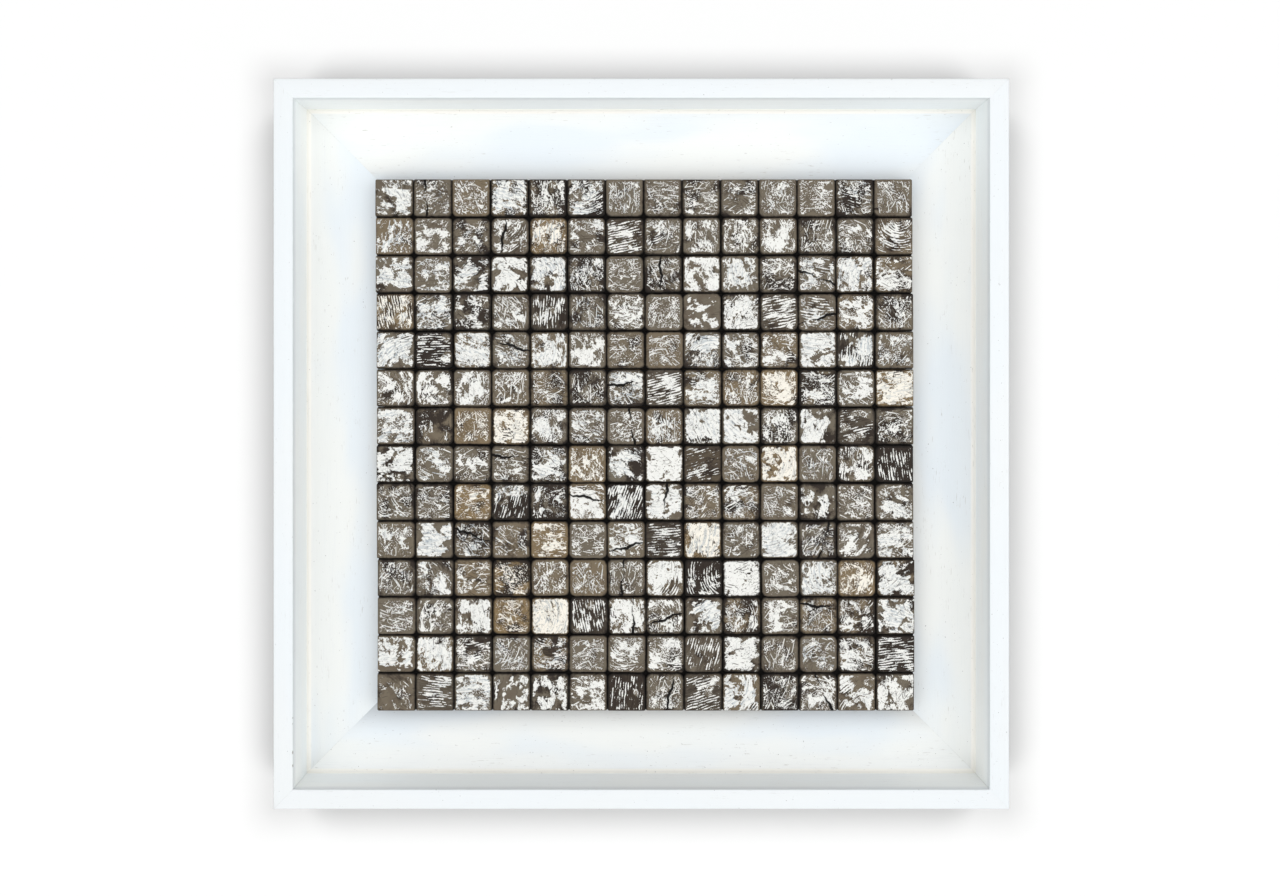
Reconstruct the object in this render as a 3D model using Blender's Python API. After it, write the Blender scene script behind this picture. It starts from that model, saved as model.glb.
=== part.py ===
"""Framed wall panel: a mosaic of teak blocks in a deep white painted tray frame.

Metres, +Z up. The panel hangs on a wall in the plane y = 0 and faces -Y. The origin is the
middle of the back of the frame's top side, where the panel is hung.
"""

import math
import random

import bmesh
import bpy
from mathutils import Matrix, Vector

# Mosaic of blocks, as laid: columns run up and down, rows run across.
COLUMNS = 14
ROWS = 14
COLUMN_PITCH = 0.0321
ROW_PITCH = 0.0318
BLOCK_THICKNESS = 0.0120
ROW_JOINT = 0.0003

# A block's rounded face, by how far it is drawn in from its cell, and the groove round it.
FACE_INSET = 0.0023
SHOULDER_INSET = 0.0008
SHOULDER_DROP = 0.0011
CORNER_CUT = 0.0026
GROOVE_DEPTH = 0.0050

# Sides on the mosaic's outline are trimmed straight, with only a small arris.
TRIMMED_FACE_INSET = 0.0008
TRIMMED_SHOULDER_INSET = 0.0003

# How unevenly the blocks were cut and laid.
FACE_SHIFT = 0.0003
FACE_TURN_DEG = 0.8
FACE_LOW = 0.0008
FACE_TILT = 0.0002
ROW_SLIP = 0.0004
ROW_CREEP = 0.00014
MOSAIC_RIGHT = 0.0032
MOSAIC_DOWN = 0.0024

# Board that the blocks are glued to.
CARRIER_THICKNESS = 0.0060
CARRIER_SET_BACK = 0.0040

# Flat ledge round the mosaic, with a small cove at the foot of the frame's wall.
LEDGE_SHOWN = 0.0593
LEDGE_UNDER_MOSAIC = 0.0240
LEDGE_THICKNESS = 0.0120
LEDGE_OFF_WALL = 0.0030
COVE_RADIUS = 0.0038
COVE_LIP = 0.0005
COVE_STEPS = 4

# Deep outer frame.
RIM_WIDTH = 0.0160
RECESS_DEPTH = 0.0450
RIM_ROUND = 0.0008
BACK_CHAMFER = 0.0006
ROUND_STEPS = 3

# Air between pieces that touch.
FIT_GAP = 0.0003

SHARP_EDGE_DEG = 32

RIM_PAINT = (0.90, 0.91, 0.91)
LEDGE_PAINT = (0.88, 0.88, 0.86)
WEATHERED_TEAK = (0.42, 0.38, 0.31)
PLYWOOD = (0.55, 0.42, 0.28)

mosaic_width = COLUMNS * COLUMN_PITCH
mosaic_height = ROWS * ROW_PITCH
frame_width = mosaic_width + 2 * (LEDGE_SHOWN + RIM_WIDTH)
frame_height = mosaic_height + 2 * (LEDGE_SHOWN + RIM_WIDTH)

# The wall is y = 0, and each layer lies in front of the one before it.
ledge_back = -LEDGE_OFF_WALL
ledge_front = ledge_back - LEDGE_THICKNESS
rim_front = ledge_front - RECESS_DEPTH
carrier_back = ledge_front - FIT_GAP
carrier_front = carrier_back - CARRIER_THICKNESS
blocks_back = carrier_front - FIT_GAP
blocks_front = blocks_back - BLOCK_THICKNESS

frame_centre_z = RIM_WIDTH / 2 - frame_height / 2


def clear_scene():
    for old in list(bpy.data.objects):
        bpy.data.objects.remove(old)


def finish(name, colour, roughness):
    """A plain Principled material."""
    material = bpy.data.materials.new(name)
    material.use_nodes = True
    shader = material.node_tree.nodes["Principled BSDF"]
    shader.inputs["Base Color"].default_value = (*colour, 1.0)
    shader.inputs["Roughness"].default_value = roughness
    shader.inputs["Metallic"].default_value = 0.0
    material.diffuse_color = (*colour, 1.0)
    return material


def add_empty(name, location):
    empty = bpy.data.objects.new(name, None)
    bpy.context.scene.collection.objects.link(empty)
    empty.location = location
    return empty


def add_piece(name, shape, material, parent):
    """Turns a bmesh into a named object under an empty."""
    bmesh.ops.recalc_face_normals(shape, faces=shape.faces[:])
    mesh = bpy.data.meshes.new(name)
    shape.to_mesh(mesh)
    shape.free()
    mesh.shade_smooth()
    mesh.set_sharp_from_angle(angle=math.radians(SHARP_EDGE_DEG))
    mesh.materials.append(material)
    piece = bpy.data.objects.new(name, mesh)
    bpy.context.scene.collection.objects.link(piece)
    piece.parent = parent
    return piece


def arc(centre, radius, start_deg, end_deg, steps):
    """Points along a circular arc in a profile's plane."""
    points = []
    for i in range(steps + 1):
        angle = math.radians(start_deg + (end_deg - start_deg) * i / steps)
        points.append((centre[0] + radius * math.cos(angle), centre[1] + radius * math.sin(angle)))
    return points


def rim_profile():
    """The outer frame's cross-section, as distances inwards from the frame's edge and y."""
    front = rim_front + RIM_ROUND
    inner = RIM_WIDTH - RIM_ROUND
    profile = [(0.0, -BACK_CHAMFER)]
    profile += arc((RIM_ROUND, front), RIM_ROUND, 180, 270, ROUND_STEPS)
    profile += arc((inner, front), RIM_ROUND, 270, 360, ROUND_STEPS)
    profile += [(RIM_WIDTH, -BACK_CHAMFER), (RIM_WIDTH - BACK_CHAMFER, 0.0), (BACK_CHAMFER, 0.0)]
    return profile


def ledge_profile():
    """A ledge board's cross-section, with the cove that climbs the frame's wall."""
    outer = RIM_WIDTH + FIT_GAP
    inner = RIM_WIDTH + LEDGE_SHOWN + LEDGE_UNDER_MOSAIC
    cove_centre = (outer + COVE_LIP + COVE_RADIUS, ledge_front - COVE_RADIUS)
    profile = [(outer, ledge_back), (outer, ledge_front - COVE_RADIUS)]
    profile += arc(cove_centre, COVE_RADIUS, 180, 90, COVE_STEPS)
    profile += [(inner, ledge_front), (inner, ledge_back)]
    return profile


def mitred_bar(name, profile, side_length, side_distance, quarter_turns, material, parent):
    """A bar along one side of the frame, cut at 45 degrees at both ends."""
    cut = FIT_GAP / math.sqrt(2)
    bar = bmesh.new()
    ends = []
    for side in (-1, 1):
        end = []
        for inwards, y in profile:
            end.append(bar.verts.new((side * (side_length / 2 - inwards - cut), y, side_distance - inwards)))
        ends.append(end)
    bar.faces.new(ends[0])
    bar.faces.new(list(reversed(ends[1])))
    for i in range(len(profile)):
        j = (i + 1) % len(profile)
        bar.faces.new((ends[0][i], ends[0][j], ends[1][j], ends[1][i]))
    turn = Matrix.Rotation(quarter_turns * math.pi / 2, 3, "Y")
    bmesh.ops.rotate(bar, cent=(0, 0, 0), matrix=turn, verts=bar.verts[:])
    return add_piece(name, bar, material, parent)


def block_outline(centre, insets, corner_cut, turn):
    """Eight points of a block with its corners cut off, anticlockwise from its right-hand side.

    insets says how far each side is drawn in from the cell: right, top, left and bottom.
    """
    half_cell = (COLUMN_PITCH / 2, ROW_PITCH / 2)
    reach = [half_cell[quarter % 2] - insets[quarter] for quarter in range(4)]
    spin = Matrix.Rotation(turn, 2)
    points = []
    for quarter in range(4):
        side = Matrix.Rotation(quarter * math.pi / 2, 2)
        for along in (corner_cut - reach[quarter - 1], reach[(quarter + 1) % 4] - corner_cut):
            points.append(centre + spin @ side @ Vector((reach[quarter], along)))
    return points


def add_block(row, corners, centre, trimmed, dice):
    """One block's shoulder and face inside its cell.

    corners are the cell's groove points, anticlockwise from the lower right, and trimmed says
    which of its right, top, left and bottom sides lie on the mosaic's outline.
    """
    loose = 0.0 if any(trimmed) else 1.0
    shift = Vector((dice.uniform(-1, 1), dice.uniform(-1, 1))) * FACE_SHIFT * loose
    turn = math.radians(dice.uniform(-1, 1) * FACE_TURN_DEG) * loose
    low = dice.uniform(0, 1) * FACE_LOW
    tilt = Vector((dice.uniform(-1, 1), dice.uniform(-1, 1))) * FACE_TILT
    shoulder_insets = [TRIMMED_SHOULDER_INSET if cut else SHOULDER_INSET for cut in trimmed]
    face_insets = [TRIMMED_FACE_INSET if cut else FACE_INSET for cut in trimmed]
    rings = []
    for insets, drop in ((shoulder_insets, SHOULDER_DROP), (face_insets, 0.0)):
        ring = []
        for point in block_outline(centre + shift, insets, CORNER_CUT, turn):
            lean = (point - centre).dot(tilt) / (COLUMN_PITCH / 2)
            ring.append(row.verts.new((point.x, blocks_front + low + drop + lean, point.y)))
        rings.append(ring)
    shoulder, face = rings
    row.faces.new(face)
    for i in range(8):
        j = (i + 1) % 8
        row.faces.new((shoulder[i], shoulder[j], face[j], face[i]))
    for quarter in range(4):
        following = (quarter + 1) % 4
        first = shoulder[2 * quarter]
        second = shoulder[2 * quarter + 1]
        row.faces.new((corners[quarter], corners[following], second, first))
        row.faces.new((corners[following], shoulder[2 * following], second))


def block_row(row_number, material, parent):
    """One row of blocks, which touch each other below their rounded faces."""
    dice = random.Random(100 + row_number)
    creep = ROW_CREEP * (row_number - (ROWS - 1) / 2)
    left = creep + dice.uniform(-1, 1) * ROW_SLIP - mosaic_width / 2
    middle = mosaic_height / 2 - (row_number + 0.5) * ROW_PITCH
    top = middle + (ROW_PITCH - ROW_JOINT) / 2
    bottom = middle - (ROW_PITCH - ROW_JOINT) / 2
    groove = blocks_front + GROOVE_DEPTH

    row = bmesh.new()
    joints = [left + i * COLUMN_PITCH for i in range(COLUMNS + 1)]
    upper = [row.verts.new((x, groove, top)) for x in joints]
    lower = [row.verts.new((x, groove, bottom)) for x in joints]
    for i in range(COLUMNS):
        centre = Vector((joints[i] + COLUMN_PITCH / 2, middle))
        corners = (lower[i + 1], upper[i + 1], upper[i], lower[i])
        trimmed = (i == COLUMNS - 1, row_number == 0, i == 0, row_number == ROWS - 1)
        add_block(row, corners, centre, trimmed, dice)

    back_lower = [row.verts.new((x, blocks_back, bottom)) for x in (joints[0], joints[-1])]
    back_upper = [row.verts.new((x, blocks_back, top)) for x in (joints[0], joints[-1])]
    row.faces.new((back_lower[0], back_lower[1], back_upper[1], back_upper[0]))
    row.faces.new([back_lower[1], back_lower[0]] + lower)
    row.faces.new([back_upper[1], back_upper[0]] + upper)
    for end in (0, -1):
        row.faces.new((lower[end], upper[end], back_upper[end], back_lower[end]))
    return add_piece(f"block_row_{row_number + 1:02d}", row, material, parent)


def mosaic_board(material, parent):
    """The board behind the blocks, set back a little from the mosaic's edge."""
    width = mosaic_width - 2 * CARRIER_SET_BACK
    height = mosaic_height - 2 * CARRIER_SET_BACK
    board = bmesh.new()
    bmesh.ops.create_cube(board, size=1.0)
    bmesh.ops.scale(board, vec=(width, CARRIER_THICKNESS, height), verts=board.verts[:])
    bmesh.ops.translate(board, vec=(0, (carrier_back + carrier_front) / 2, 0), verts=board.verts[:])
    return add_piece("mosaic_board", board, material, parent)


def build_frame():
    """Four rim sides and four ledge boards, mitred at the corners."""
    centre = add_empty("frame_centre", (0, 0, frame_centre_z))
    rim_paint = finish("rim_paint", RIM_PAINT, 0.45)
    ledge_paint = finish("ledge_paint", LEDGE_PAINT, 0.55)
    across = (frame_width, frame_height / 2)
    upright = (frame_height, frame_width / 2)
    sides = (("top", across), ("right", upright), ("bottom", across), ("left", upright))
    for quarter_turns, (side, (length, distance)) in enumerate(sides):
        mitred_bar(f"frame_{side}", rim_profile(), length, distance, quarter_turns, rim_paint, centre)
        mitred_bar(f"ledge_{side}", ledge_profile(), length, distance, quarter_turns, ledge_paint, centre)


def build_mosaic():
    """The board and its rows of blocks, laid a little off the frame's centre."""
    centre = add_empty("mosaic_centre", (MOSAIC_RIGHT, 0, frame_centre_z - MOSAIC_DOWN))
    mosaic_board(finish("plywood", PLYWOOD, 0.8), centre)
    teak = finish("weathered_teak", WEATHERED_TEAK, 0.7)
    for row_number in range(ROWS):
        block_row(row_number, teak, centre)


clear_scene()
build_frame()
build_mosaic()
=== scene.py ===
"""The looks of a wall panel: a mosaic of worn, white-painted teak blocks in a deep white tray frame."""

import math
import random

import bpy
import numpy as np
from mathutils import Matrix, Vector, noise


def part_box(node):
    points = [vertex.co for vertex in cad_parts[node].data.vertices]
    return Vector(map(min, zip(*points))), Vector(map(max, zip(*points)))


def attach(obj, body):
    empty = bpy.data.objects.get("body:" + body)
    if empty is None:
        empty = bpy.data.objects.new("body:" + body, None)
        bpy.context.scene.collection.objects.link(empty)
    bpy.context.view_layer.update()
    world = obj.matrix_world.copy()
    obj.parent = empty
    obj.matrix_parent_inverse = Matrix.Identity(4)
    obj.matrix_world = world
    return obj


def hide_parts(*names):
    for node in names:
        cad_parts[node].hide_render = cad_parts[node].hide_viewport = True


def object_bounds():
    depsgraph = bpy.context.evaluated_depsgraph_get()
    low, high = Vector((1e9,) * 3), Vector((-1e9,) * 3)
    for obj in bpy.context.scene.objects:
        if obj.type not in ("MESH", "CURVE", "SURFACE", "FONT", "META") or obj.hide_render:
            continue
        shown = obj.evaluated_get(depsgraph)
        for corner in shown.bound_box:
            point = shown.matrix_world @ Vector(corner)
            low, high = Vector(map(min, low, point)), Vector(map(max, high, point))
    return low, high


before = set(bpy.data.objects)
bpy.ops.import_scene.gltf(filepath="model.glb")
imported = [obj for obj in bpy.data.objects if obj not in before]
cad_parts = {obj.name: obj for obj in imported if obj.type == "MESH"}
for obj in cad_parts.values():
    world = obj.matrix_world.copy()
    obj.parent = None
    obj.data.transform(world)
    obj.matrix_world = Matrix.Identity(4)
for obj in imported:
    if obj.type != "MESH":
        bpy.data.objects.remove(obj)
cad_low, cad_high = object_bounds()

MM = 0.001

# The mosaic, laid out as in the CAD.
ROWS = 14
COLUMNS = 14
ROW_SEED = 100
FACE_SHIFT = 0.3 * MM
FACE_TURN_DEG = 0.8
FACE_LOW = 0.8 * MM
FACE_TILT = 0.2 * MM

# A block's form.
BLOCK_INSET = 0.26 * MM
TRIMMED_INSET = 0.08 * MM
GROOVE_DEPTH = 5.0 * MM
EDGE_ROUND = 1.3 * MM
TRIMMED_ROUND = 0.45 * MM
CORNER_RADIUS = (3.0 * MM, 5.6 * MM)
TRIMMED_CORNER = 1.3 * MM
FACE_STEP = 0.95 * MM
EDGE_STEPS = 5
EDGE_CROWDING = 1.5

# The blocks' relief: its heights, and how many waves of its noises go to a millimetre.
UNDULATION = 0.16 * MM
FINE_RELIEF = 0.05 * MM
RIDGE_HEIGHT = 0.10 * MM
EDGE_WEAR = 0.28 * MM
RELIEF_FADE = 0.6 * MM
UNDULATION_SCALE = 0.16
FINE_RELIEF_SCALE = 0.75
EDGE_WEAR_SCALE = 0.45
RIDGE_SCALE = (0.12, 0.8, 1.0)

# Splits: how common, how deep and wide, and in millimetres how far from a block's middle.
# Each bend, wiggle and narrowing is its size in millimetres and its radians to a millimetre of length.
CRACKED_SHARE = 0.10
CRACK_DEPTH = 1.6 * MM
CRACK_HALF_WIDTH = 0.75 * MM
CRACK_OFFSET = 8.0
CRACK_BEND = (0.8, 0.35)
CRACK_WIGGLE = (0.3, 1.1)
CRACK_NARROWING = (0.45, 0.16)
FAR_FROM_CRACK = 20.0

# How the blocks were sawn, painted and worn. Lengths are in millimetres and angles in radians.
LOOK_SEED = 7000
RINGED_SHARE = 0.28
RING_DISTANCE = (17.0, 34.0)
GRAIN_TURN = 0.25
COVER_SPREAD = 0.13
DARK_SPREAD = 0.25
RIDGED_SPREAD = 0.15
SCRATCHED_SPREAD = 0.15
GOLDEN = (-0.10, 0.42)
THIN = (0.35, 0.4)
# How far the sawn outer sides are kept clear of the black stain and of the grooves' painted shade.
TRIMMED_STAIN_AND_SHADE_RELIEF = 1.0
# How common each kind of block is, with its paint cover, darkness, streaks and scratches.
KINDS = (
    (0.42, -0.02, 0.38, 0.15, 0.60),
    (0.19, 0.21, 0.35, 0.20, 0.45),
    (0.12, -0.02, 0.56, 0.78, 0.60),
    (0.21, -0.29, 0.42, 0.20, 0.80),
    (0.06, -0.42, 0.20, 0.10, 0.50),
)
# The finish of the bare wood below the grooves.
BED_MOOD = (-1.0, 1.0, 0.0)
BED_TONE = (0.0, 0.0, 0.0)

# Mitred bars.
BAR_STEP = 1.5 * MM
PROFILE_STEP = 8.0 * MM
RIM_ROUND = 0.9 * MM
RIM_ROUND_STEPS = 4
MITRE_GAP = 0.02 * MM
COVE_RADIUS = 3.8 * MM
COVE_LIP = 0.5 * MM
COVE_STEPS = 6
BAR_WAVE = 0.03 * MM
BAR_WAVE_SCALE = 0.09
STRAIGHT_AT_MITRE = 6.0 * MM
BACK_STRIP = 1.0 * MM
SHARP_EDGE_DEG = 35
LEDGE_CLOSER = 0.26 * MM
# How far back a bar's frontmost faces reach, and over what share of that their colour fades out.
RIM_FRONT = 1.2 * MM
COVE_FRONT = 3.79 * MM
FRONT_FADE = 0.16

# Chips on the left bar's inner arris.
CHIP_REACH = 1.3 * MM
CHIP_DEPTH = 0.5 * MM
CHIP_BACKWARDS = 0.6
CHIP_SCALE = 0.8
# Their places along the bar and half lengths.
CHIPS = (
    (-0.2235, 0.0016),
    (-0.2285, 0.0016),
    (-0.2447, 0.0014),
    (-0.2517, 0.0030),
    (-0.2625, 0.0024),
    (-0.0760, 0.0012),
)

# The four sides, clockwise from the top, by quarter turns.
SIDES = ("top", "right", "bottom", "left")
# How much painted shadow darkens each ledge board along the foot of the mosaic.
PAINTED_MOSAIC_SHADOW = {"top": 0.16, "right": 0.16, "bottom": 0.47, "left": 0.03}
# How much painted light whitens each ledge board along the frame's wall.
PAINTED_WALL_LIGHT = {"top": 0.34, "right": 0.22, "bottom": 0.48, "left": 0.12}
# Where each of these starts and is full, in millimetres from the mosaic's edge and from the frame's.
PAINTED_MOSAIC_SHADOW_REACH = (26.0, -4.0)
PAINTED_WALL_LIGHT_REACH = (40.0, 18.0)

# Camera: straight at the panel, from a point a little above and left of its middle.
PHOTO_WIDTH = 1280
PHOTO_HEIGHT = 896
PANEL_WIDTH_PX = 736.0
PANEL_MIDDLE_PX = (641.3, 443.8)
CAMERA_FOOT_PX = (638.0, 381.5)
CAMERA_DISTANCE = 1.0
SENSOR_WIDTH = 36.0

# Stage and light.
STAGE_SIZE = 6.0
FLOOR_DROP = 1.0
WALL_GAP = 0.4 * MM
WORLD_STRENGTH = 0.48
FRONT_LIGHT_PLACE = (0.2, -2.2, -1.0)
FRONT_LIGHT_SIZE = 8.0
FRONT_LIGHT_POWER = 231.0
BACK_SUN_PLACE = (0.3, 1.0, 0.5)
BACK_SUN_SPREAD_DEG = 40.0
BACK_SUN_STRENGTH = 1.3
# The four suns that light the wall alone: how far off square they stand, to the sides and up and down.
WALL_SUN_SIDEWAYS = 0.52
WALL_SUN_FROM_ABOVE = 0.58
WALL_SUN_FROM_BELOW = 0.43
WALL_SUN_SPREAD_DEG = 24.0
WALL_SUN_STRENGTH = 2.62


# Shader maths


class Wire:
    """One socket of a material's nodes, on which shader maths is written as Python sums."""

    def __init__(self, tree, socket=None):
        self.tree = tree
        self.socket = socket

    def node(self, kind, settings, inputs, output=0):
        """Adds any node: its settings first, then the values or links of its sockets."""
        made = self.tree.nodes.new(kind)
        for key, value in settings.items():
            setattr(made, key, value)
        for key, value in inputs.items():
            if isinstance(value, Wire):
                self.tree.links.new(value.socket, made.inputs[key])
            else:
                made.inputs[key].default_value = value
        return Wire(self.tree, made.outputs[output])

    def maths(self, operation, *values):
        return self.node("ShaderNodeMath", {"operation": operation}, dict(enumerate(values)))

    def __add__(self, other):
        return self.maths("ADD", self, other)

    def __radd__(self, other):
        return self.maths("ADD", other, self)

    def __sub__(self, other):
        return self.maths("SUBTRACT", self, other)

    def __rsub__(self, other):
        return self.maths("SUBTRACT", other, self)

    def __mul__(self, other):
        return self.maths("MULTIPLY", self, other)

    def __rmul__(self, other):
        return self.maths("MULTIPLY", other, self)

    def __abs__(self):
        return self.maths("ABSOLUTE", self)

    def most(self, other):
        return self.maths("MAXIMUM", self, other)

    def least(self, other):
        return self.maths("MINIMUM", self, other)

    def sine(self):
        return self.maths("SINE", self)

    def step(self, low, high):
        """0 below low and 1 above high, with a smooth rise between; low may be the greater one."""
        settings = {"interpolation_type": "SMOOTHSTEP"}
        if low <= high:
            inputs = {"Value": self, "From Min": low, "From Max": high}
        else:
            inputs = {"Value": self, "From Min": high, "From Max": low, "To Min": 1.0, "To Max": 0.0}
        return self.node("ShaderNodeMapRange", settings, inputs)

    def attribute(self, name):
        """A number stored on the mesh."""
        return self.node("ShaderNodeAttribute", {"attribute_name": name}, {}, "Fac")

    def place(self, name):
        """A vector stored on the mesh."""
        return self.node("ShaderNodeAttribute", {"attribute_name": name}, {}, "Vector")

    def part(self, axis):
        """One coordinate of a vector."""
        return self.node("ShaderNodeSeparateXYZ", {}, {0: self}, "XYZ".index(axis))

    def stretch(self, x, y, z, shift=0.0):
        """A place with its coordinates scaled, and moved along all three axes."""
        inputs = {0: self, 1: (x, y, z), 2: (shift, shift, shift)}
        return self.node("ShaderNodeVectorMath", {"operation": "MULTIPLY_ADD"}, inputs)

    def noise(self, detail=2.0, roughness=0.5, distortion=0.0):
        """Cloudy noise, about 0 to 1, at this place."""
        inputs = {"Vector": self, "Scale": 1.0, "Detail": detail, "Roughness": roughness}
        inputs["Distortion"] = distortion
        return self.node("ShaderNodeTexNoise", {}, inputs)

    def bent(self, scale, amount):
        """A place pushed about sideways, so that straight things bend."""
        push = self.node("ShaderNodeTexNoise", {}, {"Vector": self, "Scale": scale, "Detail": 0.0}, 1)
        inputs = {0: push, 1: (amount, amount, 0.0), 2: self}
        return self.node("ShaderNodeVectorMath", {"operation": "MULTIPLY_ADD"}, inputs)

    def strokes(self, angle, length, spacing, size):
        """Scattered strokes at an angle to the grain: 1 on them, 0 away from them."""
        settings = {"rotation_type": "Z_AXIS"}
        turned = self.node("ShaderNodeVectorRotate", settings, {"Vector": self, "Angle": angle})
        cells = turned.stretch(1.0 / length, 1.0 / spacing, 1.0, angle * 50.0)
        near = self.node("ShaderNodeTexVoronoi", {}, {"Vector": cells, "Scale": 1.0})
        return near.step(size, size * 0.7)

    def line(self, width, **kinds):
        """Thin wandering lines: 1 on them, 0 away from them."""
        return abs(self.noise(**kinds) - 0.5).step(width, width * 0.35)

    def blend(self, factor, first, second):
        """One colour going over to another."""
        settings = {"data_type": "RGBA"}
        return self.node("ShaderNodeMix", settings, {0: factor, 6: first, 7: second}, 2)


def new_finish(name):
    """A material, the wire that starts its maths, and its Principled shader."""
    material = bpy.data.materials.new(name)
    material.use_nodes = True
    shader = material.node_tree.nodes["Principled BSDF"]
    return material, Wire(material.node_tree), shader


def connect(shader, **wires):
    """Links wires to the shader's inputs, by their names with _ for a space."""
    for name, wire in wires.items():
        wire.tree.links.new(wire.socket, shader.inputs[name.replace("_", " ")])


def bump(height, strength):
    """Turns a height in metres into a normal."""
    return height.node("ShaderNodeBump", {}, {"Strength": strength, "Distance": 1.0, "Height": height})


def rgb(red, green, blue):
    """A colour from its 0 to 255 screen values, as linear light."""
    linear = []
    for value in (red / 255, green / 255, blue / 255):
        linear.append(value / 12.92 if value < 0.04045 else ((value + 0.055) / 1.055) ** 2.4)
    return (*linear, 1.0)


# Colours


KHAKI_WOOD = rgb(104, 96, 83)
GOLDEN_WOOD = rgb(124, 105, 76)
SHADED_WOOD = rgb(86, 74, 62)
STREAK_BROWN = rgb(52, 43, 37)
SOOTY_BROWN = rgb(38, 30, 25)
SAWN_BROWN = rgb(62, 50, 40)
CUT_BROWN = rgb(51, 43, 37)
# Black for the stain at the joints and for the painted shade down the grooves.
STAIN_AND_SHADE_BLACK = rgb(9, 6, 4)
CLEAN_WHITE = rgb(224, 224, 220)
CREAM_WHITE = rgb(233, 225, 209)
RUBBED_WHITE = rgb(137, 150, 160)

RIM_BODY = rgb(247, 252, 253)
RIM_SHADE = rgb(250, 252, 250)
# Painted shade: the grey that the rim's front faces are greyed with.
RIM_FACE_PAINTED_SHADE = rgb(190, 196, 202)
# The ledge boards' white is greyer than the rim's, as painted shade; its bluish tint is its own.
LEDGE_BODY = rgb(218, 225, 230)
LEDGE_SHADE = rgb(228, 230, 228)
LEDGE_ACCENT = rgb(249, 247, 240)
# Painted light: the white that the ledge boards take along the frame's wall.
PAINTED_LIGHT_WHITE = rgb(250, 252, 252)
BRUSHED_GREY = rgb(214, 217, 220)
# Painted shadow: the grey that darkens the ledge boards along the foot of the mosaic.
PAINTED_SHADOW_GREY = rgb(96, 98, 104)
MARK_GREY = rgb(168, 164, 156)
DASH_GREY = rgb(172, 170, 168)
SPECK_GREY = rgb(108, 105, 108)
MITRE_GREY = rgb(150, 148, 146)
CHIP_GREY = rgb(120, 112, 108)

PALE_PLY = rgb(206, 176, 132)
DARK_PLY = rgb(176, 138, 94)
PLY_FIBRE = rgb(150, 116, 78)
PLY_PORE = rgb(104, 76, 50)

WALL_GREY = (0.30, 0.30, 0.30, 1.0)
FLOOR_WHITE = (0.88, 0.88, 0.87, 1.0)
LIGHT_WHITE = (1.0, 1.0, 1.0, 1.0)


# Finishes


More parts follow.
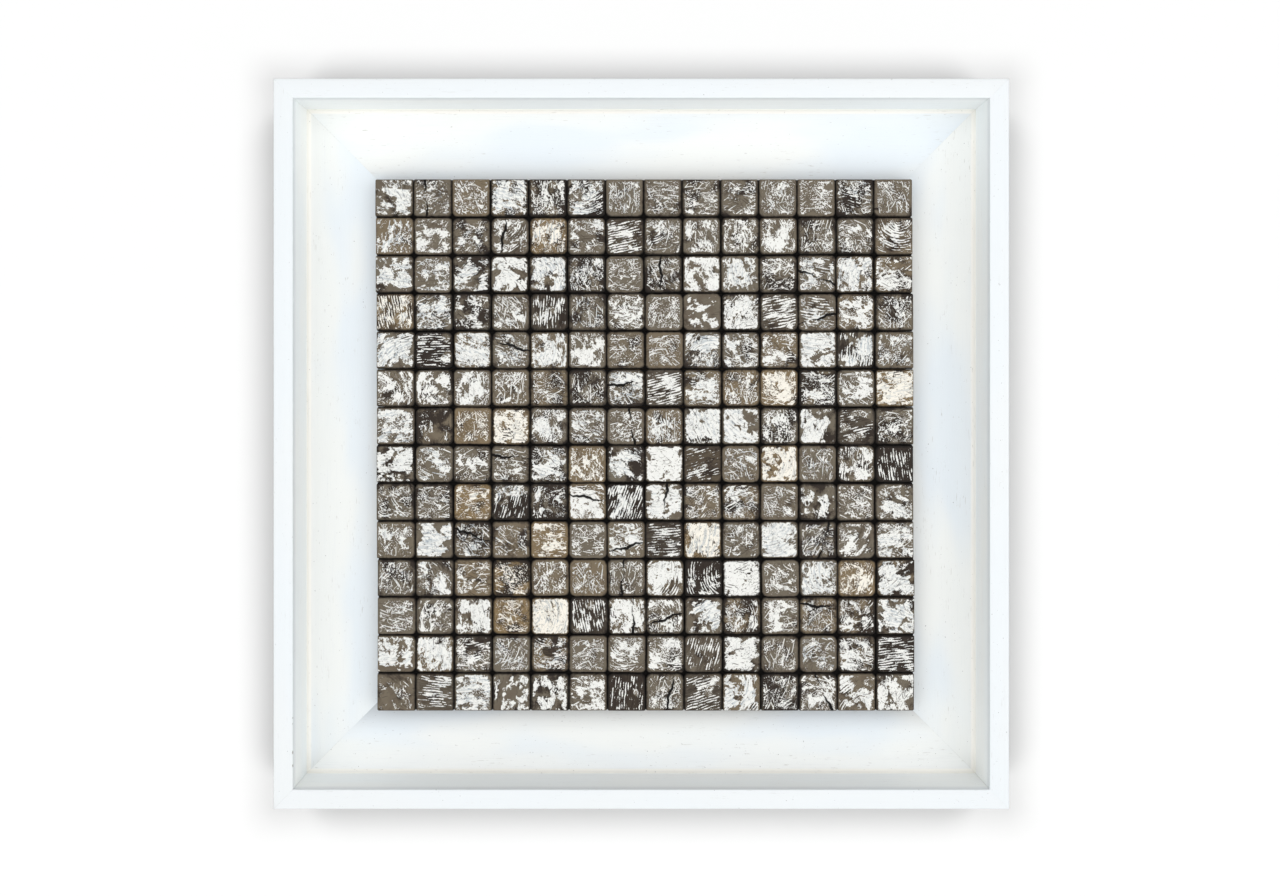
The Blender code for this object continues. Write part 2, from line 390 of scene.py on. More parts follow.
def weathered_teak():
    """Grey-brown teak under scratched, broken white paint, stained black towards the joints, with painted
    shade going black down the grooves.
    """
    material, start, shader = new_finish("weathered_teak")
    grain = start.place("grain_place")
    mood = start.place("block_mood")
    tone = start.place("block_tone")
    joint = start.attribute("joint_gap")
    crack = start.attribute("crack_gap")
    side = start.attribute("sawn_side")
    cover = mood.part("X")
    dark = mood.part("Y")
    ridged = mood.part("Z")
    golden = tone.part("X")
    thin = tone.part("Y")
    scratched = tone.part("Z")

    patches = grain.stretch(0.085, 0.11, 1.0, 7.0).noise(detail=1.5, distortion=0.6)
    ragged = grain.stretch(0.40, 0.46, 1.0).noise(detail=3.0, roughness=0.65)
    dashes = grain.stretch(0.12, 0.75, 1.0, 3.0).noise(detail=2.0, roughness=0.5, distortion=0.3)
    specks = grain.stretch(0.85, 1.0, 1.0, 11.0).noise(detail=2.0, roughness=0.6)
    wander = grain.stretch(0.09, 0.09, 1.0, 17.0).noise(detail=1.0)
    zones = grain.stretch(0.07, 0.07, 1.0, 71.0).noise(detail=1.0)
    fades = grain.stretch(0.10, 0.10, 1.0, 41.0).noise(detail=1.0)
    bent = grain.bent(0.06, 5.0)

    # The paint lies in broad torn patches, and leaves bare wood near the joints.
    near_joint = (joint + (ragged - 0.5) * 4.2 + cover * 1.6).step(2.6, 1.4)
    middle = (joint * 0.12).least(1.0) * 0.28 - 0.24
    spread = (patches - 0.5) * 2.4 + cover + middle
    solid = (spread + (ragged - 0.5) * 1.5).step(0.0, 0.10)
    pits = (specks + (ragged - 0.5) * 0.6).step(0.36, 0.30)
    solid = solid * (1.0 - pits)

    # In some zones it is left on the growth rings or saw marks alone.
    rings = (grain.part("Y") * 3.0 + wander * 9.0 + ragged * 1.5).sine()
    ridge_tops = rings * 0.34 + (dashes - 0.5) * 2.9 + (specks - 0.5) * 1.3 + spread * 1.1
    ridge_tops = ridge_tops.step(0.04, 0.26)
    streaky = (zones + (ridged - 0.5) * 0.6).step(0.55, 0.61)
    paint = solid + (ridge_tops - solid) * streaky

    # White strokes, a net of fine lines and flecks on the bare wood.
    strokes = bent.strokes(0.10, 24.0, 1.6, 0.27)
    strokes = strokes.most(bent.strokes(0.85, 28.0, 1.9, 0.25) * fades.step(0.42, 0.50))
    strokes = strokes.most(bent.strokes(-0.60, 24.0, 1.8, 0.25) * fades.step(0.56, 0.46))
    net = grain.stretch(0.16, 0.21, 1.0, 31.0).line(0.026, detail=1.0, distortion=0.8)
    flecks = (specks + (fades - 0.5) * 0.5).step(0.585, 0.64)
    scratches = strokes.most(net * zones.step(0.56, 0.44)).most(flecks)
    scratches = scratches * ((patches - 0.5) * 1.6 + scratched).step(0.10, 0.45)
    paint = paint.most(scratches * (1.0 - streaky * 0.7)) * (1.0 - near_joint)
    paint = (paint + (specks - 0.5) * 0.5).step(0.40, 0.64) * side.step(0.75, 0.25)

    # Dark strokes and lines through the paint.
    cuts = bent.strokes(-0.15, 16.0, 1.7, 0.28) * zones.step(0.46, 0.56)
    cuts = cuts.most(bent.strokes(0.70, 20.0, 1.8, 0.25) * fades.step(0.50, 0.40))
    cracks = grain.stretch(0.15, 0.17, 1.0, 53.0).line(0.012, detail=2.0, distortion=1.0)
    cuts = cuts.most(cracks * wander.step(0.44, 0.52))

    # The wood: plain khaki, darker in the streaks and in the sooty blocks.
    wood = start.blend(golden.least(1.0), KHAKI_WOOD, GOLDEN_WOOD)
    wood = start.blend(fades.step(0.42, 0.60) * 0.45, wood, SHADED_WOOD)
    between_streaks = streaky * dashes.step(0.52, 0.40)
    wood = start.blend(between_streaks * (dark * 1.2).least(0.8), wood, STREAK_BROWN)
    soot = (dark + (zones - 0.5) * 2.2 + (fades - 0.5) * 1.6 + (0.5 - ragged) * 1.2).step(0.40, 1.00)
    soot = soot.most(streaky * (dark * 1.7 - 0.25)).least(0.92)
    wood = start.blend(soot, wood, SOOTY_BROWN)
    wood = start.blend(side * 0.8, wood, SAWN_BROWN)

    # The paint: clean white, thin and bluish where it was rubbed, or cream.
    rubbed = (dashes.step(0.50, 0.38) * 0.5 + ragged.step(0.46, 0.38) * 0.5) * thin
    white = start.blend(golden.step(0.35, 0.8) * 0.6, CLEAN_WHITE, CREAM_WHITE)
    white = start.blend(rubbed.least(0.85), white, RUBBED_WHITE)
    colour = start.blend(paint, wood, white)
    colour = start.blend((cuts * (0.35 + dark * 0.65)).least(0.92), colour, CUT_BROWN)

    # Black stain at the joints and in the cracks, and painted shade that goes black down the grooves.
    rim_stain = (joint + (ragged - 0.5) * 1.6 - dark * 1.2).step(1.6, -0.2) * 0.75
    stain_and_shade = (joint + (ragged - 0.5) * 0.8 - dark * 0.5).step(0.35, -0.2)
    split = (crack + (ragged - 0.5) * 0.9).step(0.95, 0.55)
    colour = start.blend(rim_stain.most(stain_and_shade).most(split) * 0.99, colour, STAIN_AND_SHADE_BLACK)

    relief = (paint * 0.10 + rings * 0.04 * ridged + (specks - 0.5) * 0.06 - cuts * 0.12) * MM
    shader.inputs["Specular IOR Level"].default_value = 0.3
    connect(
        shader,
        Base_Color=colour,
        Roughness=0.86 - paint * 0.22,
        Normal=bump(relief, 0.8),
    )
    return material


def white_paint(name, colours, accent_strength, grain_depth, mark_strength):
    """White paint brushed along a board, with short marks of the grain showing through.

    colours are the body, its cloudy shade and the accent, which colours a bar's frontmost faces: a grey of
    painted shade on the rim's faces, and the cove's cream on a ledge board.
    The paint has a painted light, whitest along the frame's wall, and a painted shadow, greying it a
    little along the foot of the mosaic.
    """
    body, shade, accent = colours
    material, start, shader = new_finish(name)
    board = start.place("board_place")
    mitre = start.attribute("mitre_gap")
    worn = start.attribute("worn")
    from_mosaic = start.attribute("mosaic_edge") - board.part("Y")
    # A painted shadow along the foot of the mosaic.
    foot = from_mosaic.step(*PAINTED_MOSAIC_SHADOW_REACH) * start.attribute("painted_mosaic_shadow_share")
    # A painted light along the frame's wall.
    painted_light = board.part("Y").step(*PAINTED_WALL_LIGHT_REACH) * start.attribute("painted_wall_light_share")

    clouds = board.stretch(0.006, 0.02, 0.02, 5.0).noise(detail=2.0)
    brushed = board.stretch(0.03, 0.9, 0.9, 1.0).noise(detail=3.0, roughness=0.6)
    grain = board.stretch(0.10, 1.4, 1.4, 9.0).noise(detail=3.0, roughness=0.6)
    here = board.stretch(0.02, 0.05, 0.05, 13.0).noise()
    marks = grain.step(0.34, 0.29) * here.step(0.50, 0.58)
    dashes = board.stretch(0.22, 0.9, 0.9, 23.0).noise(detail=1.0).step(0.25, 0.225)
    dashes = dashes * here.step(0.56, 0.48)
    specks = board.stretch(0.62, 0.75, 0.75, 19.0).noise(detail=1.0).step(0.222, 0.198)

    colour = start.blend(clouds.step(0.40, 0.62), body, shade)
    # The painted light along the frame's wall.
    colour = start.blend(painted_light, colour, PAINTED_LIGHT_WHITE)
    # On the rim, painted shade greying its front faces; on a ledge board, the cove's cream.
    colour = start.blend(start.attribute("front_face") * accent_strength, colour, accent)
    colour = start.blend((brushed - 0.5).step(0.02, 0.3) * 0.25, colour, BRUSHED_GREY)
    # The painted shadow along the foot of the mosaic.
    colour = start.blend(foot, colour, PAINTED_SHADOW_GREY)
    colour = start.blend((marks * mark_strength).least(0.6), colour, MARK_GREY)
    colour = start.blend(dashes * mark_strength * 0.55, colour, DASH_GREY)
    colour = start.blend(specks * 0.85, colour, SPECK_GREY)
    broken = clouds.step(0.48, 0.56) * brushed.step(0.38, 0.60)
    colour = start.blend(mitre.step(0.45, 0.10) * broken * 0.28, colour, MITRE_GREY)
    chipped = (worn + (grain - 0.5) * 1.6).step(0.80, 1.00)
    colour = start.blend(chipped * 0.85, colour, CHIP_GREY)

    relief = ((brushed - 0.5) * 0.5 + (grain - 0.5) * 0.6 - marks * 0.8) * grain_depth * MM
    connect(
        shader,
        Base_Color=colour,
        Roughness=0.42 + brushed * 0.2,
        Normal=bump(relief, 0.7),
    )
    return material


def bare_plywood():
    """Rotary-cut plywood: long pale and dark bands of grain."""
    material, start, shader = new_finish("plywood")
    place = start.node("ShaderNodeTexCoord", {}, {}, "Object")
    bands = place.stretch(6.0, 40.0, 46.0, 2.0).noise(detail=4.0, distortion=1.6)
    fibres = place.stretch(30.0, 500.0, 700.0, 4.0).noise(detail=2.0)
    pores = place.stretch(120.0, 900.0, 1600.0, 6.0).noise(detail=1.0).step(0.30, 0.24)
    colour = start.blend(bands.step(0.38, 0.66), PALE_PLY, DARK_PLY)
    colour = start.blend(fibres.step(0.5, 0.7) * 0.4, colour, PLY_FIBRE)
    colour = start.blend(pores * 0.6, colour, PLY_PORE)
    relief = (fibres * 0.08 - pores * 0.1) * MM
    connect(shader, Base_Color=colour, Roughness=0.75 + bands * 0.1, Normal=bump(relief, 0.6))
    return material


def backdrop_paint():
    """A grey wall, which its own suns bring to white, and which is clear from behind."""
    material, start, shader = new_finish("backdrop_paint")
    shader.inputs["Base Color"].default_value = WALL_GREY
    shader.inputs["Roughness"].default_value = 1.0
    behind = start.node("ShaderNodeNewGeometry", {}, {}, "Backfacing")
    clear = start.node("ShaderNodeBsdfTransparent", {}, {})
    front = Wire(start.tree, shader.outputs[0])
    surface = start.node("ShaderNodeMixShader", {}, {0: behind, 1: front, 2: clear})
    output = start.tree.nodes["Material Output"]
    start.tree.links.new(surface.socket, output.inputs["Surface"])
    return material


def floor_paint():
    """A plain pale floor."""
    material, _, shader = new_finish("floor_paint")
    shader.inputs["Base Color"].default_value = FLOOR_WHITE
    shader.inputs["Roughness"].default_value = 0.9
    return material


# Meshes


def add_mesh(name, points, faces, material, numbers):
    """A smooth mesh object from arrays, with the numbers that its finish reads."""
    mesh = bpy.data.meshes.new(name)
    mesh.from_pydata(points.tolist(), [], faces)
    mesh.validate()
    mesh.update()
    mesh.shade_smooth()
    for attribute, values in numbers.items():
        kind = "FLOAT_VECTOR" if values.ndim == 2 else "FLOAT"
        layer = mesh.attributes.new(attribute, kind, "POINT")
        field = "vector" if values.ndim == 2 else "value"
        layer.data.foreach_set(field, values.astype(np.float32).ravel())
    mesh.materials.append(material)
    made = bpy.data.objects.new(name, mesh)
    bpy.context.scene.collection.objects.link(made)
    return made


def cloud(points, scale, seed):
    """Smooth noise, about -1 to 1, at each point."""
    shift = Vector((seed * 3.7, seed * 1.3, seed * 2.9))
    return np.array([noise.noise(Vector(point) * scale + shift) for point in points])


def ease(values):
    """A smooth rise from 0 to 1."""
    clipped = np.clip(values, 0.0, 1.0)
    return clipped * clipped * (3.0 - 2.0 * clipped)


def dress(piece, node):
    """Puts a piece in the place of a CAD node."""
    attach(piece, "root")
    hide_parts(node)


# Blocks


def face_lines(half):
    """Grid lines across a block's face, -1 to 1, closer together over its rounded edges."""
    edge = [1.0 - EDGE_ROUND / half * (i / EDGE_STEPS) ** EDGE_CROWDING for i in range(EDGE_STEPS + 1)]
    inner = edge[-1]
    count = round(2 * inner * half / FACE_STEP)
    middle = np.linspace(-inner, inner, count + 1)[1:-1]
    return np.concatenate([-np.array(edge), middle, np.array(edge[::-1])])


def rounded_square(s, t, radius):
    """Moves points of a square so that its rings get rounded corners.

    radius is a share of the half side.
    """
    level = np.maximum(np.maximum(abs(s), abs(t)), 1e-9)
    share = radius * level
    a = abs(s) / level
    b = abs(t) / level
    small = np.minimum(a, b)
    angle = np.clip((small - (1.0 - share)) / np.maximum(share, 1e-9), 0.0, 1.0) * math.pi / 4
    in_corner = small > 1.0 - share
    near = np.where(in_corner, 1.0 - share + share * np.cos(angle), 1.0)
    far = np.where(in_corner, 1.0 - share + share * np.sin(angle), small)
    x = np.where(a >= b, near, far) * level * np.sign(s)
    z = np.where(a >= b, far, near) * level * np.sign(t)
    return x, z


def crack_distance(x, z, look):
    """Distance in millimetres from a block's crack, if it has one."""
    if not look["cracked"]:
        return np.full(len(x), FAR_FROM_CRACK)
    angle = look["crack_angle"]
    along = x * math.cos(angle) + z * math.sin(angle)
    off = z * math.cos(angle) - x * math.sin(angle)
    bend = CRACK_BEND[0] * np.sin(along * CRACK_BEND[1] + look["offset"])
    wiggle = CRACK_WIGGLE[0] * np.sin(along * CRACK_WIGGLE[1])
    narrowing = CRACK_NARROWING[0] * np.sin(along * CRACK_NARROWING[1] + look["offset"] * 2.0)
    return abs(off - look["crack_offset"] - bend - wiggle) + narrowing


def random_share(dice, mean, spread):
    """A random share from 0 to 1."""
    return min(1.0, max(0.0, dice.gauss(mean, spread)))


def block_look(dice):
    """How one block was sawn, painted and worn."""
    _, cover, dark, ridged, scratched = dice.choices(KINDS, [kind[0] for kind in KINDS])[0]
    return {
        "offset": dice.uniform(0.0, 400.0),
        "angle": dice.choice((0.0, math.pi / 2)) + dice.gauss(0.0, GRAIN_TURN),
        "ringed": dice.random() < RINGED_SHARE,
        "ring_centre": dice.uniform(0.0, 2.0 * math.pi),
        "ring_distance": dice.uniform(*RING_DISTANCE),
        "cover": dice.gauss(cover, COVER_SPREAD),
        "dark": random_share(dice, dark, DARK_SPREAD),
        "ridged": random_share(dice, ridged, RIDGED_SPREAD),
        "golden": max(0.0, dice.gauss(*GOLDEN)),
        "thin": random_share(dice, *THIN),
        "scratched": random_share(dice, scratched, SCRATCHED_SPREAD),
        "cracked": dice.random() < CRACKED_SHARE,
        "crack_angle": dice.choice((0.0, math.pi / 2)) + dice.gauss(0.0, GRAIN_TURN),
        "crack_offset": dice.uniform(-CRACK_OFFSET, CRACK_OFFSET),
        "corner": dice.uniform(*CORNER_RADIUS),
    }


def grain_places(x, z, look):
    """Distances along and across a block's grain, in millimetres."""
    if look["ringed"]:
        centre_x = look["ring_distance"] * math.cos(look["ring_centre"])
        centre_z = look["ring_distance"] * math.sin(look["ring_centre"])
        across = np.hypot(x - centre_x, z - centre_z)
        towards = math.atan2(-centre_z, -centre_x)
        angle = np.arctan2(z - centre_z, x - centre_x) - towards
        along = ((angle + math.pi) % (2 * math.pi) - math.pi) * look["ring_distance"]
    else:
        along = x * math.cos(look["angle"]) + z * math.sin(look["angle"])
        across = z * math.cos(look["angle"]) - x * math.sin(look["angle"])
    return np.column_stack([along, across, np.full(len(x), look["offset"])])


def one_block(cell, trimmed, jitter, look):
    """A block's points, faces, finish numbers and foot outline, which lies on the floor of the groove.

    cell is its left, right, bottom and top sides, the groove's floor and its face.
    """
    left, right, bottom, top, groove, face = cell
    half_x = (right - left) / 2
    half_z = (top - bottom) / 2
    lines_x = face_lines(half_x)
    lines_z = face_lines(half_z)
    s, t = (grid.ravel() for grid in np.meshgrid(lines_x, lines_z))

    # Each quarter of the outline has its own corner, and each side its own inset and rounding.
    trim_right, trim_top, trim_left, trim_bottom = trimmed
    side_x = np.where(s > 0, trim_right, trim_left)
    side_z = np.where(t > 0, trim_top, trim_bottom)
    corner = np.where(side_x | side_z, TRIMMED_CORNER, look["corner"])
    x, z = rounded_square(s, t, corner / min(half_x, half_z))
    reach_x = half_x - np.where(side_x, TRIMMED_INSET, BLOCK_INSET)
    reach_z = half_z - np.where(side_z, TRIMMED_INSET, BLOCK_INSET)
    flank = np.clip(0.5 + (abs(s) - abs(t)) * 8.0, 0.0, 1.0)
    round_x = np.where(side_x, TRIMMED_ROUND, EDGE_ROUND)
    round_z = np.where(side_z, TRIMMED_ROUND, EDGE_ROUND)
    rounding = round_x * flank + round_z * (1.0 - flank)
    inside = (1.0 - np.maximum(abs(s), abs(t))) * half_x
    drawn = np.clip(1.0 - inside / rounding, 0.0, 1.0)
    drop = rounding * (1.0 - np.sqrt(1.0 - drawn**2))

    # Places in millimetres from the block's middle, for the relief and the finish.
    x_mm = x * reach_x / MM
    z_mm = z * reach_z / MM
    flat = np.column_stack([x_mm, z_mm, np.full(len(x), look["offset"])])
    grain = grain_places(x_mm, z_mm, look)
    crack = crack_distance(x_mm, z_mm, look)
    swell = cloud(flat, UNDULATION_SCALE, 1)
    rough = cloud(flat, FINE_RELIEF_SCALE, 2)
    ridges = cloud(grain * RIDGE_SCALE, 1.0, 3)
    trimmed_here = np.where(flank > 0.5, side_x, side_z)
    wear = (cloud(flat, EDGE_WEAR_SCALE, 4) - 0.1) * EDGE_WEAR * (1 - trimmed_here)
    height = swell * UNDULATION + rough * FINE_RELIEF + ridges * RIDGE_HEIGHT * (0.4 + look["ridged"])
    height -= CRACK_DEPTH * ease((CRACK_HALF_WIDTH / MM - crack) / 0.5 + 0.5)
    fade = ease(inside / RELIEF_FADE)
    shrink = wear * np.clip(drawn * 1.5, 0.0, 1.0)

    # Into the panel: turned and shifted as it was laid, and tilted.
    shift_x, shift_z, turn, low, tilt_x, tilt_z = jitter
    place_x = x * (reach_x - shrink)
    place_z = z * (reach_z - shrink)
    turned_x = place_x * math.cos(turn) - place_z * math.sin(turn) + shift_x
    turned_z = place_x * math.sin(turn) + place_z * math.cos(turn) + shift_z
    lean = (turned_x * tilt_x + turned_z * tilt_z) / half_x
    y = face + low + drop + lean - height * fade
    front = np.column_stack([(left + right) / 2 + turned_x, y, (bottom + top) / 2 + turned_z])

    # The outline, anticlockwise as seen from the front, carried down to the groove's floor.
    index = np.arange(len(s)).reshape(len(lines_z), len(lines_x))
    outline = np.concatenate([index[0, :-1], index[:-1, -1], index[-1, :0:-1], index[:0:-1, 0]])
    foot = front[outline]
    foot[:, 1] = groove
    foot_index = len(front) + np.arange(len(outline))
    quads = np.stack([index[:-1, :-1], index[:-1, 1:], index[1:, 1:], index[1:, :-1]], -1).reshape(-1, 4)
    sides = np.column_stack([outline, foot_index, np.roll(foot_index, -1), np.roll(outline, -1)])
    corners = [0, len(lines_x) - 1, len(lines_x) + len(lines_z) - 2, 2 * len(lines_x) + len(lines_z) - 3]
    foot_sides = []
    for first, last in zip(corners, corners[1:] + [len(outline)]):
        foot_sides.append([foot_index[i % len(outline)] for i in range(first, last + 1)])

    gap = inside / MM + np.where(trimmed_here, TRIMMED_STAIN_AND_SHADE_RELIEF, 0.0)
    total = len(front) + len(foot)
    numbers = {
        "grain_place": np.vstack([grain, grain[outline]]),
        "crack_gap": np.concatenate([crack, crack[outline]]),
        # Down a block's sides the gap falls by the groove's depth, which paints shade on them, black;
        # trimmed sides are spared.
        "joint_gap": np.concatenate([gap, gap[outline] - GROOVE_DEPTH / MM * (1 - trimmed_here[outline])]),
        "sawn_side": np.concatenate([np.clip(drawn * 2.0 - 1.0, 0.0, 1.0), np.ones(len(foot))]),
        "block_mood": np.tile([look["cover"], look["dark"], look["ridged"]], (total, 1)),
        "block_tone": np.tile([look["golden"], look["thin"], look["scratched"]], (total, 1)),
    }
    return np.vstack([front, foot]), quads.tolist() + sides.tolist(), foot_sides, numbers


def laid(dice, trimmed):
    """How far one block was shifted, turned, sunk and tilted when it was laid."""
    loose = 0.0 if any(trimmed) else 1.0
    shift_x = dice.uniform(-1, 1) * FACE_SHIFT * loose
    shift_z = dice.uniform(-1, 1) * FACE_SHIFT * loose
    turn = math.radians(dice.uniform(-1, 1) * FACE_TURN_DEG) * loose
    low = dice.uniform(0, 1) * FACE_LOW
    tilt_x = dice.uniform(-1, 1) * FACE_TILT
    tilt_z = dice.uniform(-1, 1) * FACE_TILT
    return shift_x, shift_z, turn, low, tilt_x, tilt_z


def block_row(row_number, face, material):
    """One row of blocks, laid as the CAD's row is, which touch each other below the grooves."""
    node = f"block_row_{row_number + 1:02d}"
    low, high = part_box(node)
    dice = random.Random(ROW_SEED + row_number)
    dice.uniform(-1, 1)  # This draw is the row's own slip, which its box already shows.
    looks = random.Random(LOOK_SEED + row_number)
    joints = np.linspace(low.x, high.x, COLUMNS + 1)
    groove = face + GROOVE_DEPTH

    # The bed's points: the groove's floor at every joint, below and above, then the four back corners.
    bed = [(x, groove, low.z) for x in joints]
    bed += [(x, groove, high.z) for x in joints]
    bed += [(x, high.y, z) for z in (low.z, high.z) for x in (joints[0], joints[-1])]
    lower = list(range(COLUMNS + 1))
    upper = [i + COLUMNS + 1 for i in lower]
    back = [2 * COLUMNS + 2 + i for i in range(4)]
    outer = [lower[0], lower[-1], upper[0], upper[-1], *back]
    outer += upper if row_number == 0 else lower if row_number == ROWS - 1 else []
    # The groove's floor takes the painted shade, black; the mosaic's outer edges are spared.
    bed_gap = np.full(len(bed), -GROOVE_DEPTH / MM)
    bed_gap[outer] = TRIMMED_STAIN_AND_SHADE_RELIEF
    all_faces = [
        [back[1], back[0], back[2], back[3]],
        [back[0], back[1]] + lower[::-1],
        [back[3], back[2]] + upper,
        [back[0], lower[0], upper[0], back[2]],
        [back[1], back[3], upper[-1], lower[-1]],
    ]
    all_points = [np.array(bed)]
    all_numbers = [
        {
            "grain_place": np.array(bed) / MM,
            "crack_gap": np.full(len(bed), FAR_FROM_CRACK),
            "joint_gap": bed_gap,
            "sawn_side": np.ones(len(bed)),
            "block_mood": np.tile(BED_MOOD, (len(bed), 1)),
            "block_tone": np.tile(BED_TONE, (len(bed), 1)),
        }
    ]
    total = len(bed)
    for i in range(COLUMNS):
        trimmed = (i == COLUMNS - 1, row_number == 0, i == 0, row_number == ROWS - 1)
        cell = (joints[i], joints[i + 1], low.z, high.z, groove, face)
        jitter = laid(dice, trimmed)
        points, faces, foot_sides, numbers = one_block(cell, trimmed, jitter, block_look(looks))
        all_points.append(points)
        all_numbers.append(numbers)
        all_faces += [[corner + total for corner in face_corners] for face_corners in faces]
        cell_corners = [lower[i], lower[i + 1], upper[i + 1], upper[i]]
        for number, foot_side in enumerate(foot_sides):
            cell_side = [cell_corners[number], cell_corners[(number + 1) % 4]]
            all_faces.append(cell_side + [corner + total for corner in reversed(foot_side)])
        total += len(points)
    joined = {key: np.concatenate([numbers[key] for numbers in all_numbers]) for key in all_numbers[0]}
    name = f"teak_blocks_{row_number + 1:02d}"
    piece = add_mesh(name, np.vstack(all_points), all_faces, material, joined)
    dress(piece, node)


# Mitred bars


def arc(centre, radius, start_deg, end_deg, steps):
    """Points along an arc of a profile."""
    angles = np.radians(np.linspace(start_deg, end_deg, steps + 1))
    return [(centre[0] + radius * math.cos(a), centre[1] + radius * math.sin(a)) for a in angles]


def straight(first, last, step):
    """Points between two corners of a profile, without the corners."""
    length = math.dist(first, last)
    count = max(1, round(length / step))
    return [
        (first[0] + (last[0] - first[0]) * i / count, first[1] + (last[1] - first[1]) * i / count)
        for i in range(1, count)
    ]


def filled(corners, step):
    """A closed profile with points added along its long straight stretches."""
    profile = []
    for first, last in zip(corners, corners[1:] + corners[:1]):
        profile.append(first)
        profile += straight(first, last, step)
    return profile


def rim_profile(width, front):
    """The frame's cross-section, as distances inwards from its edge and y."""
    r = RIM_ROUND
    corners = [(0.0, -r / 2)]
    corners += arc((r, front + r), r, 180, 270, RIM_ROUND_STEPS)
    corners += arc((width - r, front + r), r, 270, 360, RIM_ROUND_STEPS)
    corners += [(width, -r / 2), (width - r / 2, 0.0), (r / 2, 0.0)]
    return filled(corners, PROFILE_STEP)


def ledge_profile(outer, inner, back, face):
    """A ledge board's cross-section, with its cove."""
    r = COVE_RADIUS
    corners = [(outer, back), (outer, face - r)]
    corners += arc((outer + COVE_LIP + r, face - r), r, 180, 90, COVE_STEPS)
    corners += [(inner, face), (inner, back)]
    return filled(corners, PROFILE_STEP)


def mosaic_edge(side):
    """How far the mosaic's edge lies from the frame's outer edge on one side."""
    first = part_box("block_row_01")
    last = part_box(f"block_row_{ROWS:02d}")
    edges = {
        "top": cad_high.z - first[1].z,
        "right": cad_high.x - first[1].x,
        "bottom": last[0].z - cad_low.z,
        "left": first[0].x - cad_low.x,
    }
    return edges[side]


def mitred_bar(name, section, side, material, seed, worn_at=()):
    """A bar along one side of the frame, cut at 45 degrees at both ends.

    section is its profile and how far back its frontmost faces reach. worn_at lists the places along
    the bar where its inner front arris is chipped.
    """
    profile, front = section
    centre = (cad_low + cad_high) / 2
    half_length = (cad_high.x - cad_low.x) / 2
    distance = (cad_high.z - cad_low.z) / 2
    if side in ("right", "left"):
        half_length, distance = distance, half_length
    inwards = np.array([point[0] for point in profile])
    depth = np.array([point[1] for point in profile])
    count = round(2 * half_length / BAR_STEP)
    shares = np.linspace(-1.0, 1.0, count + 1)
    ring = len(profile)
    reach = half_length - inwards - MITRE_GAP
    along = (shares[:, None] * reach[None, :]).ravel()
    across = np.tile(inwards, count + 1)
    y = np.tile(depth, count + 1)

    place = np.column_stack([along / MM, across / MM, y / MM + seed * 37.0])
    wave = cloud(place, BAR_WAVE_SCALE, seed) * BAR_WAVE
    from_mitre = np.tile(reach, count + 1) - abs(along)
    in_front = y < depth.max() - BACK_STRIP
    y_wave = np.where(in_front, wave * ease(from_mitre / STRAIGHT_AT_MITRE), 0.0)

    worn = np.zeros(len(along))
    arris = np.hypot(across - inwards.max(), y - depth.min())
    for at, length in worn_at:
        near = np.exp(-(((along - at) / length) ** 2))
        worn = np.maximum(worn, near * ease(1.3 - arris / CHIP_REACH))
    chipped = np.maximum(0.0, cloud(place, CHIP_SCALE, seed + 5)) * worn * CHIP_DEPTH

    z = distance - across + chipped
    front_face = ease((depth.min() + front - y) / (front * FRONT_FADE))
    y = y + y_wave + chipped * CHIP_BACKWARDS
    turn = SIDES.index(side) * math.pi / 2
    world_x = along * math.cos(turn) + z * math.sin(turn)
    world_z = z * math.cos(turn) - along * math.sin(turn)
    points = np.column_stack([world_x + centre.x, y, world_z + centre.z])

    faces = []
    for i in range(count):
        for j in range(ring):
            k = (j + 1) % ring
            faces.append([i * ring + j, i * ring + k, (i + 1) * ring + k, (i + 1) * ring + j])
    faces.append(list(range(ring - 1, -1, -1)))
    faces.append([count * ring + j for j in range(ring)])
    numbers = {
        "board_place": place,
        "mitre_gap": from_mitre / MM,
        "worn": worn,
        "front_face": front_face,
        "mosaic_edge": np.full(len(along), mosaic_edge(side) / MM),
        # The painted shadow along the foot of the mosaic, on the front alone.
        "painted_mosaic_shadow_share": np.where(in_front, PAINTED_MOSAIC_SHADOW[side], 0.0),
        # The painted light along the frame's wall.
        "painted_wall_light_share": np.full(len(along), PAINTED_WALL_LIGHT[side]),
    }
    piece = add_mesh(name, points, faces, material, numbers)
    piece.data.set_sharp_from_angle(angle=math.radians(SHARP_EDGE_DEG))
    return piece


def build_frame():
    """The four sides of the frame and the four ledge boards."""
    # The rim's accent greys its front faces, as painted shade.
    rim_paint = white_paint("rim_paint", (RIM_BODY, RIM_SHADE, RIM_FACE_PAINTED_SHADE), 0.51, 0.10, 0.35)
    # The ledge's paint is a greyer copy of the rim's white: painted shade.
    ledge_paint = white_paint("ledge_paint", (LEDGE_BODY, LEDGE_SHADE, LEDGE_ACCENT), 0.9, 0.12, 0.9)
    top_low, top_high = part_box("frame_top")
    ledge_low, ledge_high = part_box("ledge_top")
    rim = rim_profile(top_high.z - top_low.z, cad_low.y)
    ledge_outer = cad_high.z - ledge_high.z - LEDGE_CLOSER
    ledge_inner = cad_high.z - ledge_low.z
    ledge_face = ledge_low.y + COVE_RADIUS
    ledge = ledge_profile(ledge_outer, ledge_inner, ledge_high.y, ledge_face)
    for number, side in enumerate(SIDES):
        chips = CHIPS if side == "left" else ()
        bar = mitred_bar(f"rim_{side}", (rim, RIM_FRONT), side, rim_paint, number + 1, chips)
        dress(bar, f"frame_{side}")
        board = mitred_bar(f"ledge_board_{side}", (ledge, COVE_FRONT), side, ledge_paint, number + 11)
        dress(board, f"ledge_{side}")


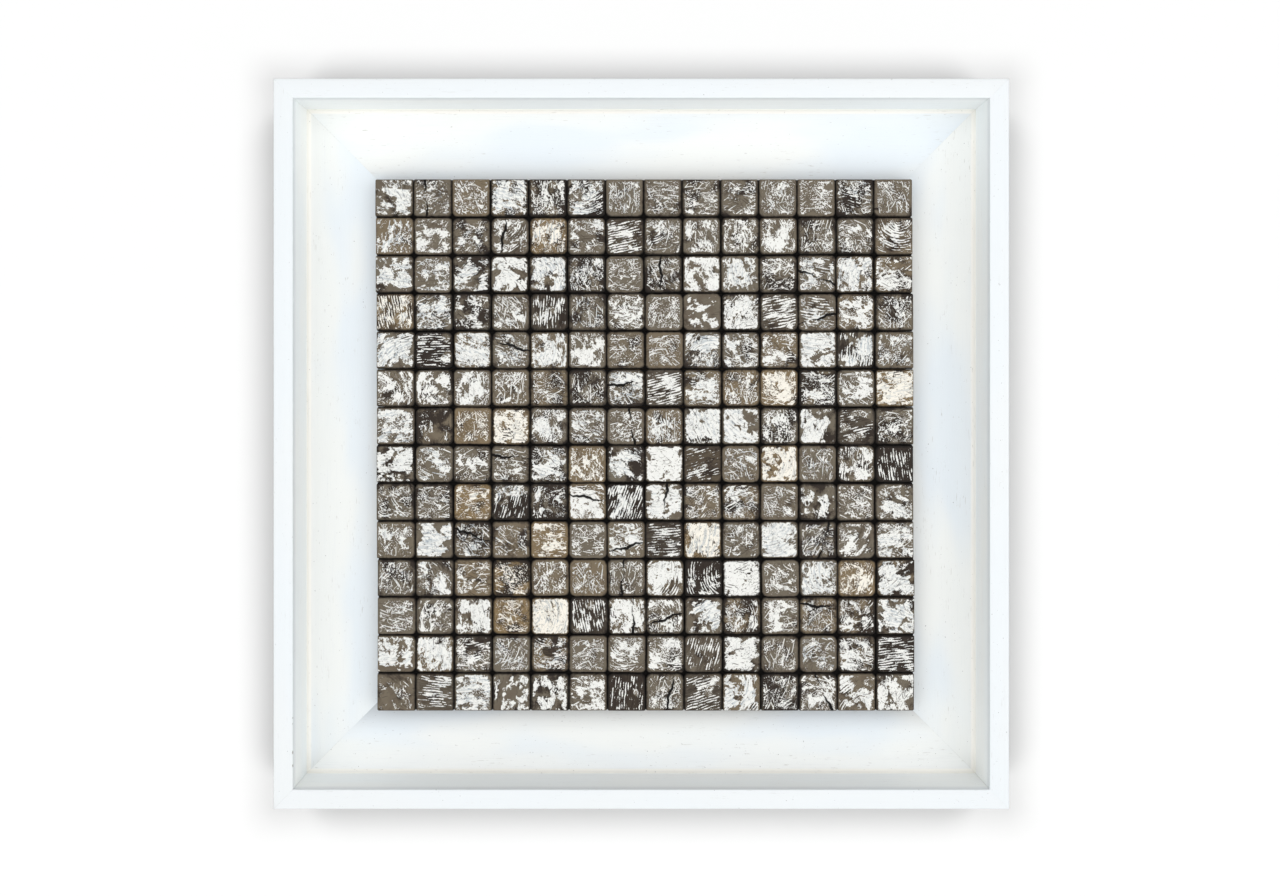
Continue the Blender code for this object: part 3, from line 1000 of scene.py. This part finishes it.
def build_mosaic():
    """The rows of blocks, and the plywood they are glued to."""
    teak = weathered_teak()
    face = min(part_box(f"block_row_{i + 1:02d}")[0].y for i in range(ROWS)) + FACE_TILT
    for row_number in range(ROWS):
        block_row(row_number, face, teak)
    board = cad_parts["mosaic_board"]
    board.data.materials.clear()
    board.data.materials.append(bare_plywood())


# Stage, light and camera


def add_plane(name, location, turn, material):
    """A square of the stage."""
    mesh = bpy.data.meshes.new(name)
    half = STAGE_SIZE / 2
    corners = [(-half, -half, 0), (half, -half, 0), (half, half, 0), (-half, half, 0)]
    mesh.from_pydata(corners, [], [(0, 1, 2, 3)])
    mesh.materials.append(material)
    plane = bpy.data.objects.new(name, mesh)
    bpy.context.scene.collection.objects.link(plane)
    plane.location = location
    plane.rotation_euler = turn
    return plane


def add_lamp(name, kind, location, target, strength):
    """A lamp turned towards a target."""
    data = bpy.data.lights.new(name, kind)
    data.energy = strength
    lamp = bpy.data.objects.new(name, data)
    bpy.context.scene.collection.objects.link(lamp)
    lamp.location = location
    lamp.rotation_euler = (target - location).to_track_quat("-Z", "Y").to_euler()
    return lamp


def add_soft_sun(name, location, target, spread_deg, strength):
    """A sun whose shadows have soft edges."""
    sun = add_lamp(name, "SUN", location, target, strength)
    sun.data.angle = math.radians(spread_deg)
    return sun


def group_for_light(thing, state):
    """A collection of one object, which a lamp's light is kept to or kept off."""
    group = bpy.data.collections.new("light_group")
    group.objects.link(thing)
    group.collection_objects[0].light_linking.link_state = state
    return group


def light_scene(middle, wall, floor):
    """Even white light from all round and a broad soft light from the front, below the middle.

    Four soft suns light the wall alone, and one lights the panel from behind.
    """
    world = bpy.data.worlds.new("studio")
    world.use_nodes = True
    background = world.node_tree.nodes["Background"]
    background.inputs["Color"].default_value = LIGHT_WHITE
    background.inputs["Strength"].default_value = WORLD_STRENGTH
    bpy.context.scene.world = world
    place = middle + Vector(FRONT_LIGHT_PLACE)
    front = add_lamp("front_light", "AREA", place, middle, FRONT_LIGHT_POWER)
    front.data.shape = "DISK"
    front.data.size = FRONT_LIGHT_SIZE
    front.light_linking.receiver_collection = group_for_light(wall, "EXCLUDE")
    for sideways in (-WALL_SUN_SIDEWAYS, WALL_SUN_SIDEWAYS):
        for height in (WALL_SUN_FROM_ABOVE, -WALL_SUN_FROM_BELOW):
            place = middle + Vector((sideways, -1.0, height))
            sun = add_soft_sun("wall_sun", place, middle, WALL_SUN_SPREAD_DEG, WALL_SUN_STRENGTH)
            sun.light_linking.receiver_collection = group_for_light(wall, "INCLUDE")
            sun.light_linking.blocker_collection = group_for_light(floor, "EXCLUDE")
    place = middle + Vector(BACK_SUN_PLACE)
    back = add_soft_sun("back_sun", place, middle, BACK_SUN_SPREAD_DEG, BACK_SUN_STRENGTH)
    back.light_linking.receiver_collection = group_for_light(wall, "EXCLUDE")
    bpy.context.scene.view_settings.view_transform = "Standard"


def set_stage():
    """The wall that the panel hangs on, which keeps no light off the panel, and the floor below it."""
    floor_level = cad_low.z - FLOOR_DROP
    wall_place = (0, WALL_GAP, floor_level + STAGE_SIZE / 2)
    wall = add_plane("wall", wall_place, (math.pi / 2, 0, 0), backdrop_paint())
    wall.visible_shadow = False
    wall.visible_diffuse = False
    wall.visible_glossy = False
    floor = add_plane("floor", (0, 0, floor_level), (0, 0, 0), floor_paint())
    return wall, floor


def set_camera():
    """A camera square to the wall, whose framing is the photograph's."""
    metres_per_px = (cad_high.x - cad_low.x) / PANEL_WIDTH_PX
    middle = (cad_low + cad_high) / 2
    data = bpy.data.cameras.new("camera")
    data.sensor_width = SENSOR_WIDTH
    data.lens = SENSOR_WIDTH * CAMERA_DISTANCE / (PHOTO_WIDTH * metres_per_px)
    data.shift_x = (PHOTO_WIDTH / 2 - CAMERA_FOOT_PX[0]) / PHOTO_WIDTH
    data.shift_y = (CAMERA_FOOT_PX[1] - PHOTO_HEIGHT / 2) / PHOTO_WIDTH
    data.dof.use_dof = False
    camera = bpy.data.objects.new("camera", data)
    bpy.context.scene.collection.objects.link(camera)
    camera.location = (
        middle.x + (CAMERA_FOOT_PX[0] - PANEL_MIDDLE_PX[0]) * metres_per_px,
        cad_low.y - CAMERA_DISTANCE,
        middle.z - (CAMERA_FOOT_PX[1] - PANEL_MIDDLE_PX[1]) * metres_per_px,
    )
    camera.rotation_euler = (math.pi / 2, 0, 0)
    bpy.context.scene.camera = camera


set_camera()
light_scene((cad_low + cad_high) / 2, *set_stage())
build_frame()
build_mosaic()
